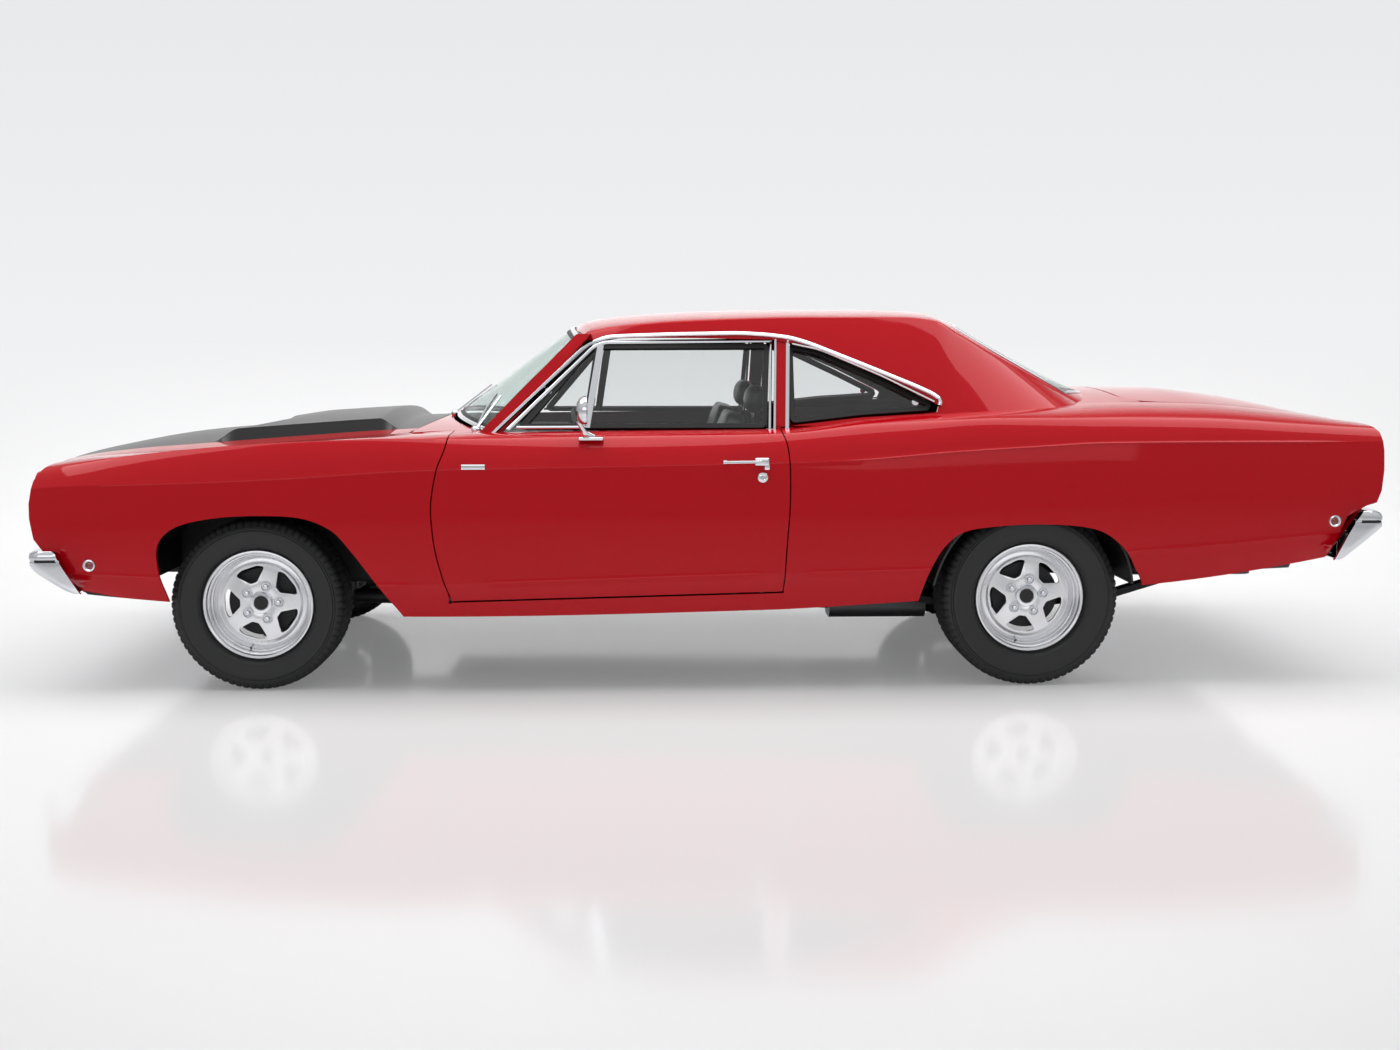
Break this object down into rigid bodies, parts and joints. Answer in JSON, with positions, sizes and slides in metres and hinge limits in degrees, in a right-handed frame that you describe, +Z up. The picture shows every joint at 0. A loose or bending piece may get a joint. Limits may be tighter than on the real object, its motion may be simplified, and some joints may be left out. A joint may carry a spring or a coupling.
{
  "type": "two-door muscle car coupe",
  "caption": "Two-door muscle car coupe with long scooped hood, fastback-style sail panels, chrome bumpers, opening doors, hood and trunk lid, and steered five-spoke wheels.",
  "frame": {"origin": "on the floor, in the middle of the overall length and width", "axes": "+X to the tail, nose towards -X, left side towards -Y, +Z up"},
  "size_m": [5.149, 2.024, 1.4532],
  "materials": {
    "body_paint": "gloss",
    "black_paint": "satin",
    "chrome": "polished",
    "polished_aluminium": "polished",
    "tyre_rubber": "matte",
    "clear_glass": "clear",
    "black_vinyl": "satin",
    "black_plastic": "matte",
    "lamp_red": "gloss",
    "lamp_clear": "clear",
    "cast_metal": "rough",
    "bare_steel": "dull"
  },
  "bodies": {
    "root": {"floor_pan": "black_paint", "cowl_panels": "body_paint", "rockers": "body_paint", "fender_left": "body_paint", "fender_right": "body_paint", "quarter_left": "body_paint", "quarter_right": "body_paint", "roof": "body_paint", "pillars": "body_paint", "tail_panel": "body_paint", "nose_panel": "body_paint", "grille": "black_plastic", "headlamps": "lamp_clear", "front_bumper": "chrome", "rear_bumper": "chrome", "tail_lamps": "lamp_red", "windshield": "clear_glass", "rear_glass": "clear_glass", "dashboard": "black_plastic", "steering_wheel": "black_plastic", "front_seats": "black_vinyl", "rear_seat": "black_vinyl", "engine_block": "cast_metal", "rear_axle": "cast_metal", "front_suspension": "cast_metal", "exhaust": "bare_steel", "fuel_tank": "bare_steel", "wheelhouses": "black_paint"},
    "left_door": {"door_left": "body_paint", "door_glass_left": "clear_glass", "mirror": "chrome"},
    "right_door": {"door_right": "body_paint", "door_glass_right": "clear_glass"},
    "engine_hood": {"hood": "body_paint"},
    "trunk_cover": {"trunk_lid": "body_paint"},
    "left_knuckle": {"knuckle_left": "cast_metal"},
    "right_knuckle": {"knuckle_right": "cast_metal"},
    "front_left_wheel": {"rim_front_left": "polished_aluminium", "tyre_front_left": "tyre_rubber"},
    "front_right_wheel": {"rim_front_right": "polished_aluminium", "tyre_front_right": "tyre_rubber"},
    "rear_left_wheel": {"rim_rear_left": "polished_aluminium", "tyre_rear_left": "tyre_rubber"},
    "rear_right_wheel": {"rim_rear_right": "polished_aluminium", "tyre_rear_right": "tyre_rubber"}
  },
  "joints": [
    {"name": "steer_left", "type": "hinge", "parent": "root", "child": "left_knuckle", "pos_m": [-1.7275, -0.662, 0.328], "axis": [0, 0, 1], "range_deg": [-32, 32]},
    {"name": "steer_right", "type": "hinge", "parent": "root", "child": "right_knuckle", "pos_m": [-1.7275, 0.662, 0.328], "axis": [0, 0, 1], "range_deg": [-32, 32]},
    {"name": "spin_front_left", "type": "hinge", "parent": "left_knuckle", "child": "front_left_wheel", "pos_m": [-1.7275, -0.7555, 0.328], "axis": [0, -1, 0], "continuous": true},
    {"name": "spin_front_right", "type": "hinge", "parent": "right_knuckle", "child": "front_right_wheel", "pos_m": [-1.7275, 0.7555, 0.328], "axis": [0, -1, 0], "continuous": true},
    {"name": "spin_rear_left", "type": "hinge", "parent": "root", "child": "rear_left_wheel", "pos_m": [1.2185, -0.752, 0.341], "axis": [0, -1, 0], "continuous": true},
    {"name": "spin_rear_right", "type": "hinge", "parent": "root", "child": "rear_right_wheel", "pos_m": [1.2185, 0.752, 0.341], "axis": [0, -1, 0], "continuous": true},
    {"name": "open_door_left", "type": "hinge", "parent": "root", "child": "left_door", "pos_m": [-0.9545, -0.9, 0.6], "axis": [0, 0, -1], "range_deg": [0, 65]},
    {"name": "open_door_right", "type": "hinge", "parent": "root", "child": "right_door", "pos_m": [-0.9545, 0.9, 0.6], "axis": [0, 0, 1], "range_deg": [0, 65]},
    {"name": "open_hood", "type": "hinge", "parent": "root", "child": "engine_hood", "pos_m": [-1.1015, 0, 1.008], "axis": [0, 1, 0], "range_deg": [0, 50]},
    {"name": "open_trunk", "type": "hinge", "parent": "root", "child": "trunk_cover", "pos_m": [1.6475, 0, 1.127], "axis": [0, -1, 0], "range_deg": [0, 70]}
  ],
  "couplings": [
    {"joint": "steer_right", "follows": "steer_left", "ratio": 1}
  ]
}
